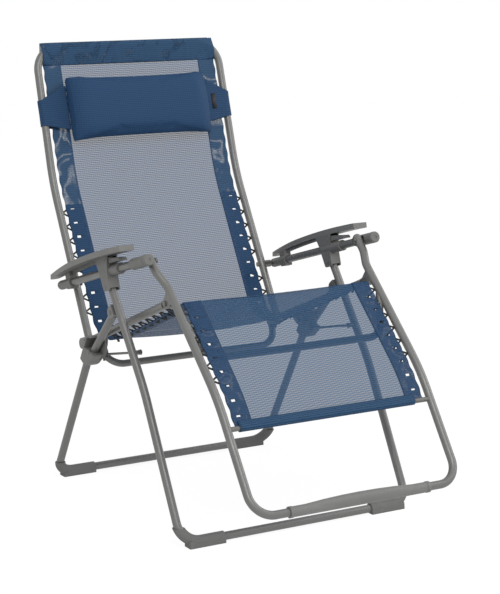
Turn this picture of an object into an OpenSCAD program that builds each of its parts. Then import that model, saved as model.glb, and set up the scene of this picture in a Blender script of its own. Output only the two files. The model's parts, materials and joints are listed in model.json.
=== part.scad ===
// Folding zero gravity recliner: two leg frames, a seat, a back and a leg rest in
// steel tube, arms that slide with the recline, and a laced mesh sling.
// The chair faces -Y, +Z is up, the origin is on the floor under its middle.

/* [Tube] */
// Outside diameter of the frame tubes
tube_d = 20; // [18:0.5:22]
// Wall of the frame tubes
tube_wall = 1.5; // [1:0.1:2.5]
// Outside diameter of the cross bars
bar_d = 18; // [14:0.5:19]

/* [Front legs] */
// Half width between the leg tubes, to their axes
leg_half = 321; // [312:1:335]
// Floor bar of the front legs, ahead of the origin
front_reach = 301; // [270:1:330]
// Lean of the lower front leg, from the floor
front_angle = 61.5; // [58:0.5:66]
// Height of the slight bend in the front leg
front_bend_z = 340; // [300:1:370]
// Lean of the front leg above its bend
front_top_angle = 53.5; // [50:0.5:58]
// Height of the armrest pivot
arm_pivot_z = 566; // [550:1:590]
// Bend radius at the floor bar corners
front_corner_r = 50; // [40:1:70]

/* [Rear legs] */
// Floor bar of the rear legs, behind the origin
rear_reach = 380; // [360:1:410]
// Lean of the rear legs, from the floor
rear_angle = 60; // [57:0.5:63]
// Height where the rear leg enters its hip bracket
boot_z = 352; // [340:1:360]
// Bend radius at the rear floor bar corners
rear_corner_r = 45; // [40:1:65]
// Fold pivot, down the front leg from the armrest pivot
strut_drop = 57; // [50:1:70]
// Fold pivot, behind the axis of the front leg
strut_offset = 23.6; // [22:0.2:28]

/* [Seat] */
// Half width of the seat, back and leg rest tubes, to their axes
rail_half = 281; // [272:1:282]
// Length of the seat between its back hinge and its knee hinge
seat_len = 461.6; // [430:1:480]
// Rise of the seat toward the knee
seat_angle = 22; // [18:0.5:25]
// Hip pivot, along the seat from the back hinge
hip_along = 96.3; // [90:1:105]
// Hip pivot, under the seat rail axis
hip_drop = 26; // [24:0.5:30]

/* [Back] */
// Half width at the top of the back frame
back_half = 273; // [262:1:280]
// Length of the lower back, from its hinge to its bend
back_low = 436.5; // [410:1:460]
// Lean of the lower back, from the floor
back_low_angle = 60.8; // [58:0.5:63]
// Length of the upper back, from its bend to the top bar
back_up = 360; // [320:1:400]
// Lean of the upper back, from the floor
back_up_angle = 73.5; // [68:0.5:78]
// Slide pivot, up the lower back from its hinge
slide_along = 157; // [145:1:165]

/* [Leg rest] */
// Knee hinge, behind the axis of the leg rest tube
knee_offset = 24; // [23:0.5:27]
// Leg rest tube above the knee, up to its slide pivot
leg_up = 108.9; // [100:1:116]
// Leg rest tube from the knee to its bend
leg_mid = 292; // [270:1:310]
// Leg rest tube from its bend to the foot bar
leg_low = 285.4; // [250:1:320]
// Slope of the leg rest at the knee
leg_angle = 43.3; // [38:0.5:47]
// Slope of the leg rest at the feet
leg_low_angle = 55.4; // [50:0.5:62]
// Half width of the leg rest tube at its slide pivot
leg_top_half = 294; // [288:1:294]

/* [Arms] */
// Half width between the slide tubes, to their axes
slide_half = 319; // [319:1:325]
// Outside diameter of the slide end sockets
socket_d = 28; // [26:0.5:30]
// Width of the arm pads
pad_w = 46; // [36:1:60]
// Thickness of the arm pads
pad_t = 14; // [10:0.5:18]
// Length of the arm pad behind the pivot
pad_back = 300; // [250:1:320]
// Length of the arm pad ahead of the pivot
pad_front = 126; // [100:1:150]
// Rise of the arm pad over the slide tube
pad_rise = 42; // [38:0.5:50]

/* [Sling] */
// Thickness of the mesh sling
mesh_t = 2.4; // [1.5:0.1:4]
// Gap between the sling's edge and the tubes
lace_gap = 10; // [8:0.5:14]
// Sag of the seat between its ends
seat_sag = 8; // [0:1:14]
// Diameter of the elastic laces
lace_d = 3.6; // [2.5:0.1:5]
// Distance between lace holes
lace_pitch = 39; // [30:1:55]
// Width of the head pillow
pillow_w = 428; // [380:2:460]
// Height of the head pillow
pillow_h = 178; // [140:2:220]
// Thickness of the head pillow
pillow_t = 52; // [35:1:70]

/* [Hardware] */
// Diameter of the pivot bolts
bolt_d = 8; // [6:0.5:9]
// Diameter of the limiter rods
rod_d = 6; // [5:0.5:7]
// Thickness of the welded plates
plate_t = 3; // [2.5:0.1:4]
// Radial clearance of a turning joint
run_fit = 0.06; // [0.03:0.01:0.09]
// Gap between parts that pass each other
free_gap = 0.5; // [0.3:0.05:0.8]
// Rubber under the floor bars
foot_t = 3; // [2:0.5:5]

/* [Hidden] */
$fn = 64;

tube_r = tube_d / 2;
weld = 0.16;
weld_in = 0.8;
bar_r = bar_d / 2;
bar_z = foot_t + tube_r;
frame_grey = "dimgray";
mesh_blue = "lightsteelblue";

// ---- side view skeleton: every point is [y, z] ----
function dir(a) = [cos(a), sin(a)];
function side(d) = [-d[1], d[0]];
function len2(v) = sqrt(v * v);
function dir_to(a, b) = (b - a) / len2(b - a);

front_bar = [-front_reach, bar_z];
front_bend = front_bar + dir(front_angle) * (front_bend_z - bar_z) / sin(front_angle);
front_up = dir(front_top_angle);
arm_pivot = front_bend + front_up * (arm_pivot_z - front_bend_z) / sin(front_top_angle);
fold_pivot = arm_pivot - front_up * strut_drop - side(front_up) * strut_offset;

rear_bar = [rear_reach, bar_z];
rear_up = [-cos(rear_angle), sin(rear_angle)];
rear_fwd = [-sin(rear_angle), -cos(rear_angle)];
boot = rear_bar + rear_up * (boot_z - bar_z) / sin(rear_angle);
// a point of the hip bracket: up its leg, and ahead of the leg's axis
function boot_at(u, v) = boot + rear_up * u + rear_fwd * v;
strut_pin = boot_at(46, 15.4);
hip = boot_at(54.5, 2.4);

seat_dir = [-cos(seat_angle), sin(seat_angle)];
seat_up = [sin(seat_angle), cos(seat_angle)];
back_hinge = hip + seat_up * hip_drop - seat_dir * hip_along;
knee = back_hinge + seat_dir * seat_len;

back_dir = dir(back_low_angle);
back_top_dir = dir(back_up_angle);
back_bend = back_hinge + back_dir * back_low;
back_top = back_bend + back_top_dir * back_up;
slide_rear = back_hinge + back_dir * slide_along;

leg_dir = dir(leg_angle);
leg_low_dir = dir(leg_low_angle);
leg_ref = knee + side(leg_dir) * knee_offset;
slide_front = leg_ref + leg_dir * leg_up;
leg_bend = leg_ref - leg_dir * leg_mid;
leg_bar = leg_bend - leg_low_dir * leg_low;

slide_dir = dir_to(slide_front, slide_rear);
slide_up = side(slide_dir);
pivot_along = (arm_pivot - slide_front) * slide_dir;
pivot_drop = (slide_front - arm_pivot) * slide_up;
arm_origin = slide_front + slide_dir * pivot_along;
// a point of the armrest: along the slide tube from over the pivot, and above it
function arm_at(t, n) = arm_origin + slide_dir * t + slide_up * n;

// ---- helpers ----
function unit(v) = v / norm(v);
function at(x, p) = [x, p[0], p[1]];
function bend_angle(a, b, c) = acos(unit(b - a) * unit(c - b));
function bend_cut(a, b, c, r) = r * tan(bend_angle(a, b, c) / 2);

module along(a, b) {
  d = b - a;
  translate(a) rotate([0, acos(d[2] / norm(d)), atan2(d[1], d[0])]) children();
}

module pipe(a, b, d, wall) {
  along(a, b) linear_extrude(norm(b - a)) difference() {
    circle(d = d);
    if (wall > 0) circle(d = d - 2 * wall);
  }
}

// One bend: the arc between two straight runs, a hair fatter than they are
module elbow(a, b, c, r, d) {
  u = unit(b - a);
  w = unit(c - b);
  inward = unit(w - (u * w) * u);
  o = b - u * bend_cut(a, b, c, r) + inward * r;
  z = cross(-inward, u);
  multmatrix([
    [-inward[0], u[0], z[0], o[0]],
    [-inward[1], u[1], z[1], o[1]],
    [-inward[2], u[2], z[2], o[2]],
    [0, 0, 0, 1]
  ])
    rotate_extrude(angle = bend_angle(a, b, c), $fn = 96) translate([r, 0]) circle(d = d + weld);
}

// A rod bent through the points p, with radius r[i] at each inner point
module bent(p, r, d, past = 0) {
  n = len(p);
  for (i = [0:n - 2]) {
    u = unit(p[i + 1] - p[i]);
    c0 = i > 0 ? bend_cut(p[i - 1], p[i], p[i + 1], r[i - 1]) - weld_in : -past;
    c1 = i < n - 2 ? bend_cut(p[i], p[i + 1], p[i + 2], r[i]) - weld_in : -past;
    along(p[i] + u * c0, p[i + 1]) cylinder(d = d, h = norm(p[i + 1] - p[i]) - c0 - c1);
  }
  for (i = [1:n - 2]) elbow(p[i - 1], p[i], p[i + 1], r[i - 1], d);
}

function mirrored(p) = [for (i = [len(p) - 1:-1:0]) [-p[i][0], p[i][1], p[i][2]]];
function reversed(r) = [for (i = [len(r) - 1:-1:0]) r[i]];

// A bent tube whose left half is given, from its free end to the middle
module u_tube(p, r, d, wall) {
  q = concat(p, mirrored(p));
  t = concat(r, reversed(r));
  difference() {
    bent(q, t, d);
    if (wall > 0) bent(q, t, d - 2 * wall, 1);
  }
}

// A side view outline, as a plate from x0 outward
module plate(x0, w) {
  translate([x0, 0, 0]) rotate([90, 0, 90]) linear_extrude(w) children();
}

module disc_at(p, r) {
  translate(p) circle(r = r);
}

module pin(p, d, x0, x1) {
  translate([x0, p[0], p[1]]) rotate([0, 90, 0]) cylinder(d = d, h = x1 - x0);
}

// A link outline with round ends, for plates that carry a pivot
module link(a, ra, b, rb) {
  d = dir_to(a, b);
  n = side(d);
  disc_at(a, ra);
  disc_at(b, rb);
  polygon([a + n * ra, b + n * rb, b - n * rb, a - n * ra]);
}

// Build for the left side (+X), and mirror for the right
module hand(s) {
  mirror([s < 0 ? 1 : 0, 0, 0]) children();
}

module both() {
  for (s = [-1, 1]) hand(s) children();
}

// A shallow dome of diameter d, standing outward on the plane x
module dome_cap(p, d, x) {
  translate([x, p[0], p[1]]) rotate([0, 90, 0]) intersection() {
    translate([0, 0, -d * 0.36]) sphere(d = d * 1.24);
    cylinder(d = d, h = d);
  }
}

hole_d = bolt_d + 2 * run_fit;

// Round the corners of an outline by r, with a short curve at each corner
function soft(p, r, n = 5) = [
  for (i = [0:len(p) - 1])
    let (
      b = p[i],
      a = p[(i + len(p) - 1) % len(p)],
      c = p[(i + 1) % len(p)],
      cut = min(r, len2(a - b) * 0.45, len2(c - b) * 0.45),
      s = b + dir_to(b, a) * cut,
      e = b + dir_to(b, c) * cut
    )
      for (k = [0:n]) let (q = k / n) s * pow(1 - q, 2) + b * 2 * q * (1 - q) + e * q * q
];

// A band of thickness t along a side view path
function path_dir(p, i) = dir_to(p[max(i - 1, 0)], p[min(i + 1, len(p) - 1)]);
function band(p, t) = concat(
  [for (i = [0:len(p) - 1]) p[i] + side(path_dir(p, i)) * t / 2],
  [for (i = [len(p) - 1:-1:0]) p[i] - side(path_dir(p, i)) * t / 2]
);

// A quadratic and a cubic curve through side view control points
function quad(a, b, c, q) = a * pow(1 - q, 2) + b * 2 * q * (1 - q) + c * q * q;
function cubic(a, b, c, d, q) =
  a * pow(1 - q, 3) + b * 3 * q * pow(1 - q, 2) + c * 3 * q * q * (1 - q) + d * pow(q, 3);

// ---- front legs ----
ear_gap = tube_r + free_gap;
ear_out = ear_gap + plate_t;
ear_r = 14;
eye_r = 11;
arm_tip = 11;
long_bend = 500;
rod_up = 102;
rod_pivot = front_bend + front_up * rod_up;
rod_pin_d = 5;
rod_x = leg_half - tube_r - 9;

module front_tube(grow, wall) {
  u_tube([
    at(leg_half, arm_pivot + front_up * arm_tip),
    at(leg_half, front_bend),
    at(leg_half, front_bar)
  ], [long_bend, front_corner_r], tube_d + grow, wall);
}

module front_leg_frame() {
  color(frame_grey) difference() {
    union() {
      front_tube(0, tube_wall);
      both() fold_ear();
    }
    both() pin(arm_pivot, hole_d, leg_half - tube_d, leg_half + tube_d);
    both() pin(fold_pivot, hole_d, leg_half - 2 * tube_d, leg_half + 2 * tube_d);
    both() pin(rod_pivot, rod_pin_d, leg_half - tube_d, leg_half);
  }
}

// A channel welded behind the leg: a web on the tube and two cheeks for the strut
module fold_ear() {
  root = fold_pivot + side(front_up) * strut_offset;
  web_in = root - side(front_up) * (tube_r - tube_wall / 2);
  web_out = root - side(front_up) * (strut_offset - eye_r - 2 * free_gap);
  half = front_up * ear_r;
  for (x = [leg_half - ear_out, leg_half + ear_gap])
    plate(x, plate_t) union() {
      disc_at(fold_pivot, ear_r);
      polygon([web_in + half, web_in - half, fold_pivot - half, fold_pivot + half]);
    }
  plate(leg_half - ear_out, 2 * ear_out)
    polygon([web_in + half, web_in - half, web_out - half, web_out + half]);
}

// ---- feet: a rubber shoe round the outer end of a floor bar ----
shoe_wall = 3.5;
shoe_in = 62;
shoe_up = 46;

module shoe_block(bar, corner_r) {
  x0 = leg_half - corner_r - shoe_in;
  plate(x0, leg_half - corner_r / 3 - x0) translate(bar)
    polygon(soft([
      [-tube_r - shoe_wall - 2, -bar_z],
      [tube_r + shoe_wall + 2, -bar_z],
      [tube_r + shoe_wall, tube_r * 0.5],
      [-tube_r - shoe_wall, tube_r * 0.5]
    ], 3));
}

module shoe_cut(bar, corner_r) {
  translate([leg_half - corner_r - shoe_in, bar[0] - 60, 0])
    cube([corner_r + shoe_in + tube_d, 120, shoe_up]);
}

module front_foot() {
  color("gray") difference() {
    intersection() {
      union() {
        shoe_block(front_bar, front_corner_r);
        front_tube(2 * shoe_wall, 0);
      }
      shoe_cut(front_bar, front_corner_r);
    }
    front_tube(0.1, 0);
  }
}

module rear_foot() {
  color("gray") difference() {
    intersection() {
      union() {
        shoe_block(rear_bar, rear_corner_r);
        rear_tube(2 * shoe_wall, 0);
      }
      shoe_cut(rear_bar, rear_corner_r);
    }
    rear_tube(0.1, 0);
  }
}

module fold_bolts() {
  color("silver") both() {
    pin(fold_pivot, bolt_d, leg_half - ear_out, leg_half + ear_out);
    pin(fold_pivot, 14, leg_half - ear_out - 5, leg_half - ear_out);
    dome_cap(fold_pivot, 14, leg_half + ear_out);
  }
}

// The hinge pins of the limiter rods, on the inner side of the front legs
module rod_caps() {
  color("gray") both() difference() {
    union() {
      pin(rod_pivot, rod_pin_d, rod_x - rod_d / 2, leg_half - tube_r + tube_wall);
      pin(rod_pivot, 11, rod_x + rod_d / 2 + 0.3, leg_half - tube_r / 2);
      mirror([1, 0, 0]) dome_cap(rod_pivot, 14, -(rod_x - rod_d / 2 - 0.3));
      pin(rod_pivot, rod_pin_d, rod_x - rod_d / 2 - 0.4, rod_x);
    }
    difference() {
      along(at(leg_half, front_bend), at(leg_half, arm_pivot))
        cylinder(d = tube_d, h = 2 * rod_up);
      pin(rod_pivot, rod_pin_d, rod_x, leg_half - tube_r + tube_wall);
    }
  }
}

// ---- rear legs, with their hip brackets and struts ----
socket_deep = 28;
pocket_gap = 0.1;
strut_end = 12;
bracket_in = leg_half - tube_r - 5;
bracket_w = tube_d + 10;
bracket_wall = 4;
strut_dir = dir_to(strut_pin, fold_pivot);
guide_u = 57.3;
guide_v = 41.2;
rod_guide = boot_at(guide_u, guide_v);
rod_dir = dir_to(rod_pivot, rod_guide);
rod_play = 4.6;

module rear_tube(grow, wall) {
  u_tube([
    at(leg_half, boot + rear_up * socket_deep),
    at(leg_half, rear_bar)
  ], [rear_corner_r], tube_d + grow, wall);
}

module rear_leg_frame() {
  color(frame_grey) rear_tube(0, tube_wall);
}

module bracket_plate(x, w, p, r) {
  plate(x, w) polygon(soft([for (q = p) boot_at(q[0], q[1])], r));
}

// A moulded socket on the leg, a cup round the strut's foot, and a flanged plate
module hip_bracket() {
  back = -tube_r - 4.5;
  color(frame_grey) difference() {
    union() {
      bracket_plate(bracket_in, bracket_wall,
        [[0, back], [74, back], [103, 23], [77, 54], [17, 29], [0, 15.5]], 7);
      bracket_plate(bracket_in, bracket_w,
        [[0, back], [40, back], [58, 43], [17, 29], [0, 15.5]], 5);
      bracket_plate(bracket_in, bracket_w,
        [[0, back], [74, back], [74, back + bracket_wall], [0, back + bracket_wall]], 1);
      bracket_plate(bracket_in, bracket_w,
        [[71, back], [75, back], [92, 8], [88, 10]], 1);
      rod_loop();
    }
    along(at(leg_half, rear_bar), at(leg_half, boot))
      cylinder(d = tube_d + 2 * pocket_gap, h = len2(boot - rear_bar) + socket_deep + pocket_gap);
    along(at(leg_half, strut_pin - strut_dir * (strut_end + pocket_gap)), at(leg_half, fold_pivot))
      cylinder(d = tube_d + 2 * pocket_gap, h = 90);
    pin(strut_pin, bolt_d + 0.1, bracket_in - 1, bracket_in + bracket_w + 1);
    pin(hip, hole_d, bracket_in - 1, bracket_in + bracket_wall + 1);
  }
}

// A loop on the bracket's inner side, that the limiter rod slides through
module rod_loop() {
  w = rod_d + 2 * rod_play;
  n = side(rod_dir);
  x0 = rod_x - rod_d / 2 - 0.4;
  difference() {
    plate(x0 - 2.5, bracket_in - x0 + 3) polygon([
      rod_guide + n * (w / 2 + 3) - rod_dir * 4,
      rod_guide + n * (w / 2 + 3) + rod_dir * 4,
      rod_guide - n * (w / 2 + 3) + rod_dir * 4,
      rod_guide - n * (w / 2 + 3) - rod_dir * 4
    ]);
    plate(x0, bracket_in - x0) polygon([
      rod_guide + n * w / 2 - rod_dir * 5,
      rod_guide + n * w / 2 + rod_dir * 5,
      rod_guide - n * w / 2 + rod_dir * 5,
      rod_guide - n * w / 2 - rod_dir * 5
    ]);
  }
}

module strut() {
  color(frame_grey) difference() {
    union() {
      pipe(at(leg_half, strut_pin - strut_dir * strut_end),
        at(leg_half, fold_pivot - strut_dir * eye_r * 0.7), tube_d, tube_wall);
      pin(fold_pivot, 2 * eye_r, leg_half - tube_r + 0.7, leg_half + tube_r - 0.7);
      pin(strut_pin, bolt_d + 3, leg_half - tube_r + 1.7, leg_half + tube_r - 1.7);
    }
    pin(fold_pivot, hole_d, leg_half - tube_d, leg_half + tube_d);
    pin(strut_pin, bolt_d + 0.1, leg_half - tube_d, leg_half + tube_d);
  }
}

module strut_pins() {
  color("silver") both() {
    pin(strut_pin, bolt_d, bracket_in, bracket_in + bracket_w);
    dome_cap(strut_pin, 13, bracket_in + bracket_w);
  }
}

module limiter_rod() {
  hook = rod_guide + rod_dir * 12;
  color("darkgray") difference() {
    union() {
      bent([
        at(rod_x, rod_pivot),
        at(rod_x, hook),
        at(rod_x, hook - side(rod_dir) * 16)
      ], [7], rod_d);
      pin(rod_pivot, 12, rod_x - rod_d / 2, rod_x + rod_d / 2);
    }
    pin(rod_pivot, rod_pin_d + 2 * run_fit, rod_x - rod_d, rod_x + rod_d);
  }
}

// ---- seat ----
tongue_w = 13;
cheek_in = tongue_w / 2 + 0.4;
cheek_t = tube_r - cheek_in - 0.1;
hinge_tail = 22;
hip_ear_x = rail_half + tube_r - 4;
function seat_at(s, h) = back_hinge + seat_dir * s + seat_up * h;

module hip_bolts() {
  color("silver") both() {
    pin(hip, bolt_d, hip_ear_x - 5, bracket_in + bracket_wall + 3.3);
    pin(hip, 13, hip_ear_x - 5.3, hip_ear_x - 0.3);
    pin(hip, 14, hip_ear_x + plate_t + 0.3, bracket_in - 0.3);
    pin(hip, 12, bracket_in + bracket_wall + 0.3, bracket_in + bracket_wall + 3.3);
  }
}

module seat_rail() {
  color(frame_grey) difference() {
    union() {
      pipe(at(rail_half, seat_at(20, 0)), at(rail_half, seat_at(seat_len - 20, 0)), tube_d, tube_wall);
      hinge_cheeks();
      plate(rail_half - tongue_w / 2, tongue_w)
        link(knee, eye_r, seat_at(seat_len - 34, 0), tube_r - 2);
      hip_ear();
    }
    pin(back_hinge, hole_d, rail_half - 2 * tube_d, rail_half + 2 * tube_d);
    pin(knee, hole_d, rail_half - tube_d, rail_half + tube_d);
    pin(hip, hole_d, rail_half - tube_d, rail_half + tube_d);
  }
}

// The rail's rear end: two cheeks past the back tube, closed by a block in front
module hinge_cheeks() {
  for (x = [rail_half - ear_out, rail_half + ear_gap])
    plate(x, plate_t) link(seat_at(-hinge_tail, 0), ear_r, seat_at(36, 0), tube_r);
  plate(rail_half - ear_out, 2 * ear_out) polygon([
    seat_at(18, tube_r - 1), seat_at(36, tube_r - 1),
    seat_at(36, 1 - tube_r), seat_at(18, 1 - tube_r)
  ]);
}

module hip_ear() {
  plate(hip_ear_x, plate_t) polygon(soft([
    seat_at(hip_along - 34, 0), seat_at(hip_along - 16, -hip_drop - 6),
    seat_at(hip_along, -hip_drop - 14), seat_at(hip_along + 16, -hip_drop - 6),
    seat_at(hip_along + 34, 0)
  ], 12));
}

cross_end = back_hinge + [-11, -14.5];
cross_low = back_hinge + [-44, -58];
tab_x = rail_half - ear_out - 0.3 - plate_t;
cross_half = tab_x - bar_r + 0.6;

// A bar dropping under the seat, whose flat end tabs sit on the back hinge bolts
module seat_cross_bar() {
  color(frame_grey) difference() {
    union() {
      u_tube([
        at(cross_half, cross_end),
        at(cross_half - 6, cross_low)
      ], [52], bar_d, tube_wall);
      both() plate(tab_x, plate_t) link(back_hinge, eye_r, cross_end, bar_r + 1);
    }
    both() pin(back_hinge, bolt_d + 0.1, tab_x - 1, tab_x + plate_t + 1);
  }
}

sling_half = rail_half - tube_r - lace_gap;
seat_drop = 10;
hip_run = 70;
seat_path_n = 10;
// the fabric's turn from the seat up the back, from 0 on the seat to 1 on the back
function hip_turn(q) = quad(seat_at(hip_run, -seat_drop), seat_at(1, -2.6), back_hinge + back_dir * 60, q);
function seat_cloth_h(s) =
  let (q = max(s - hip_run, 0) / (seat_len - hip_run)) -seat_drop - seat_sag * 4 * q * (1 - q);
seat_path = concat(
  [for (i = [4:-1:1]) hip_turn(0.485 * i / 4)],
  [for (i = [0:seat_path_n])
    let (s = hip_run + (seat_len - hip_run) * i / seat_path_n) seat_at(s, seat_cloth_h(s))],
  [seat_at(seat_len + 27, -seat_drop + 2)]
);

module seat_sling() {
  color(mesh_blue) plate(-sling_half, 2 * sling_half) polygon(band(seat_path, mesh_t));
}

knob_d = lace_d + 2.6;
knob_h = 2.2;
lace_clear = 0.2;
// the seat's ties lean, so their square ends need more room at the fabric
lean_clear = 2;

// A tie from the sling's edge at a to a knob on the tube whose axis passes b
module lace_tie(a, b) {
  reach = norm(b - a) - tube_r - lace_clear;
  along(a, b) {
    cylinder(d = lace_d, h = reach);
    translate([0, 0, reach - knob_h]) cylinder(d = knob_d, h = knob_h);
  }
}

module seat_laces() {
  n = floor((seat_len - 110) / lace_pitch);
  color("black") both() for (i = [0:n]) {
    s = 62 + i * lace_pitch;
    edge = at(sling_half + lean_clear, seat_at(s, seat_cloth_h(s)));
    lace_tie(edge, at(rail_half, seat_at(s, 0)));
  }
}

// ---- back ----
function back_at(s) = back_hinge + back_dir * s;
function top_at(s, n) = back_bend + back_top_dir * s + side(back_top_dir) * n;
bend_half = rail_half - (rail_half - back_half) * 0.6;
top_corner_r = 65;
sleeve_h = 48;
back_sling_half = back_half - tube_r - 5;
rear_x = rail_half - (rail_half - bend_half) * slide_along / back_low;

module back_tube(grow, wall) {
  u_tube([
    at(rail_half, back_at(-12)),
    at(bend_half, back_bend),
    at(back_half, back_top)
  ], [long_bend, top_corner_r], tube_d + grow, wall);
}

module back_frame() {
  color(frame_grey) difference() {
    back_tube(0, tube_wall);
    both() pin(back_hinge, hole_d, rail_half - tube_d, rail_half + tube_d);
    both() pin(slide_rear, bolt_d + 0.1, rail_half - tube_d, rail_half + tube_d);
  }
}

module back_bolts() {
  color("silver") both() {
    pin(back_hinge, bolt_d, tab_x - 4, rail_half + ear_out + 0.3);
    pin(back_hinge, 13, tab_x - 4.1, tab_x - 0.1);
    pin(back_hinge, 13, rail_half + ear_out + 0.3, rail_half + ear_out + 3.3);
  }
}

module end_plug(x, p, d, deep) {
  along(at(x, p), at(x, p + d)) {
    translate([0, 0, -deep]) cylinder(d = tube_d - 2 * tube_wall - 0.3, h = deep + 1);
    translate([0, 0, 0.15]) intersection() {
      translate([0, 0, tube_r * 0.4 - tube_r]) sphere(r = tube_r * 1.16);
      cylinder(r = tube_r, h = tube_r);
    }
  }
}

module back_end_plugs() {
  color("gray") both() end_plug(rail_half, back_at(-12), -back_dir, 5);
}

bend_run = 56;
back_path = concat(
  [for (i = [1:4]) hip_turn(0.515 + 0.485 * i / 4)],
  [back_at((back_low - bend_run) / 2)],
  [for (i = [0:8]) quad(back_at(back_low - bend_run), back_bend, top_at(bend_run, 0), i / 8)],
  [top_at(back_up - sleeve_h, 0)]
);

module back_sling() {
  color(mesh_blue) {
    plate(-back_sling_half, 2 * back_sling_half) polygon(band(back_path, mesh_t));
    difference() {
      plate(-back_sling_half, 2 * back_sling_half) difference() {
        link(back_top, tube_r + 3, top_at(back_up - sleeve_h, 0), 2.5);
        link(back_top, tube_r + 0.6, top_at(back_up - sleeve_h + 3, 0), 0.8);
      }
      back_tube(0.8, 0);
    }
  }
}

module back_laces() {
  n = floor((back_low - 80) / lace_pitch);
  color("black") both() for (i = [0:n]) {
    s = 62 + i * lace_pitch;
    x = rail_half - (rail_half - bend_half) * s / back_low;
    if (abs(s - slide_along) > 12)
      lace_tie(at(back_sling_half + lace_clear, back_at(s)), at(x, back_at(s)));
  }
}

slide_in = slide_half - socket_d / 2;
open_play = 6;
pocket_deep = 9;

module slide_rear_bolts() {
  color("silver") both() {
    pin(slide_rear, bolt_d, rear_x - tube_r - 1, slide_in + pocket_deep - 1);
    pin(slide_rear, 13, rear_x - tube_r - 5, rear_x - tube_r - 0.1);
    difference() {
      pin(slide_rear, 19, rear_x + tube_r - 4, slide_in - 0.5);
      back_tube(0.02, 0);
    }
  }
}

// ---- leg rest ----
function leg_at(s, h) = leg_ref + leg_dir * s + side(leg_dir) * h;
function low_at(s) = leg_bend - leg_low_dir * s;
foot_corner_r = 55;
hem_d = 12;
hem_s = 74;

module leg_tube(grow, wall) {
  u_tube([
    at(leg_top_half, slide_front + leg_dir * 11),
    at(leg_top_half, slide_front - leg_dir * 34),
    at(rail_half, slide_front - leg_dir * 76),
    at(rail_half, leg_bend),
    at(rail_half, leg_bar)
  ], [60, 60, long_bend, foot_corner_r], tube_d + grow, wall);
}

module leg_rest_frame() {
  color(frame_grey) difference() {
    union() {
      leg_tube(0, tube_wall);
      both() for (x = [rail_half - tube_r + 0.1, rail_half + cheek_in]) knee_cheek(x);
    }
    both() pin(knee, hole_d, rail_half - tube_d, rail_half + tube_d);
    both() pin(slide_front, bolt_d + 0.1, leg_top_half - tube_d, leg_top_half + tube_d);
  }
}

// A triangular cheek welded to the tube, with the knee pivot at its lower corner
module knee_cheek(x) {
  plate(x, cheek_t) union() {
    disc_at(knee, eye_r + 1);
    polygon(soft([
      leg_at(-eye_r - 5, 0), leg_at(eye_r + 5, 0),
      knee + leg_dir * (eye_r + 1), knee - leg_dir * (eye_r + 1)
    ], 3));
  }
}

module knee_bolts() {
  color("silver") both() {
    pin(knee, bolt_d, rail_half - tube_r - 1, rail_half + tube_r + 1);
    pin(knee, 13, rail_half - tube_r - 5, rail_half - tube_r - 0.2);
    pin(knee, 13, rail_half + tube_r + 0.2, rail_half + tube_r + 4);
  }
}

module knee_cross_bar() {
  color(frame_grey) difference() {
    u_tube([
      at(rail_half - 2, leg_at(-56, -4)),
      at(rail_half - 41, leg_at(-166, -25))
    ], [50], bar_d, tube_wall);
    leg_tube(0.1, 0);
  }
}

module hem_cross_bar() {
  color(frame_grey) difference() {
    pin(low_at(hem_s), hem_d, -rail_half, rail_half);
    pin(low_at(hem_s), hem_d - 2.4, -rail_half - 1, rail_half + 1);
    leg_tube(0.1, 0);
  }
}

grip_len = 384;
grip_d = 25;
bump_len = 300;
bump_h = 6;

// A moulded foot grip on the floor side bar, with a long low crown on top
module foot_grip() {
  crown = leg_bar + [0, 4];
  big = (bump_len * bump_len / 4 + bump_h * bump_h) / (2 * bump_h);
  color(frame_grey) difference() {
    union() {
      pin(leg_bar, grip_d, -grip_len / 2, grip_len / 2);
      for (x = [-grip_len / 2, grip_len / 2 - 8]) pin(leg_bar, grip_d + 2, x, x + 8);
      translate(at(0, crown)) rotate([0, 90, 0]) rotate_extrude($fn = 72) intersection() {
        translate([grip_d / 2 - 4 + bump_h - big, 0]) circle(r = big, $fn = 240);
        translate([0, -bump_len / 2]) square([grip_d, bump_len]);
      }
    }
    pin(leg_bar, tube_d + 0.1, -grip_len, grip_len);
  }
}

module leg_end_plugs() {
  color("gray") both() end_plug(leg_top_half, slide_front + leg_dir * 11, leg_dir, 5);
}

leg_path = concat(
  [leg_at(-20, 0), leg_at((bend_run - leg_mid) / 2, 0)],
  [for (i = [0:8]) quad(leg_at(bend_run - leg_mid, 0), leg_bend, low_at(bend_run - 10), i / 8)],
  [low_at(hem_s - hem_d / 2)]
);

module leg_sling() {
  color(mesh_blue) difference() {
    union() {
      plate(-sling_half, 2 * sling_half) polygon(band(leg_path, mesh_t));
      pin(low_at(hem_s), hem_d + 0.6 + 2 * mesh_t, -sling_half, sling_half);
    }
    pin(low_at(hem_s), hem_d + 0.6, -rail_half, rail_half);
  }
}

// the ties stay clear of the cross bar's end
module leg_laces() {
  n = floor((leg_mid - 90) / lace_pitch);
  color("black") both() {
    leg_tie(leg_at(-29, 0));
    for (i = [0:n - 1]) leg_tie(leg_at(-100 - i * lace_pitch, 0));
    for (i = [0:1]) leg_tie(low_at(24 + i * lace_pitch));
  }
}

module leg_tie(p) {
  lace_tie(at(sling_half + lace_clear, p), at(rail_half, p));
}

module slide_front_bolts() {
  color("silver") both() {
    pin(slide_front, bolt_d, leg_top_half - tube_r - 1, slide_in + pocket_deep - 1);
    pin(slide_front, 13, leg_top_half - tube_r - 5, leg_top_half - tube_r - 0.1);
  }
}

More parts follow.
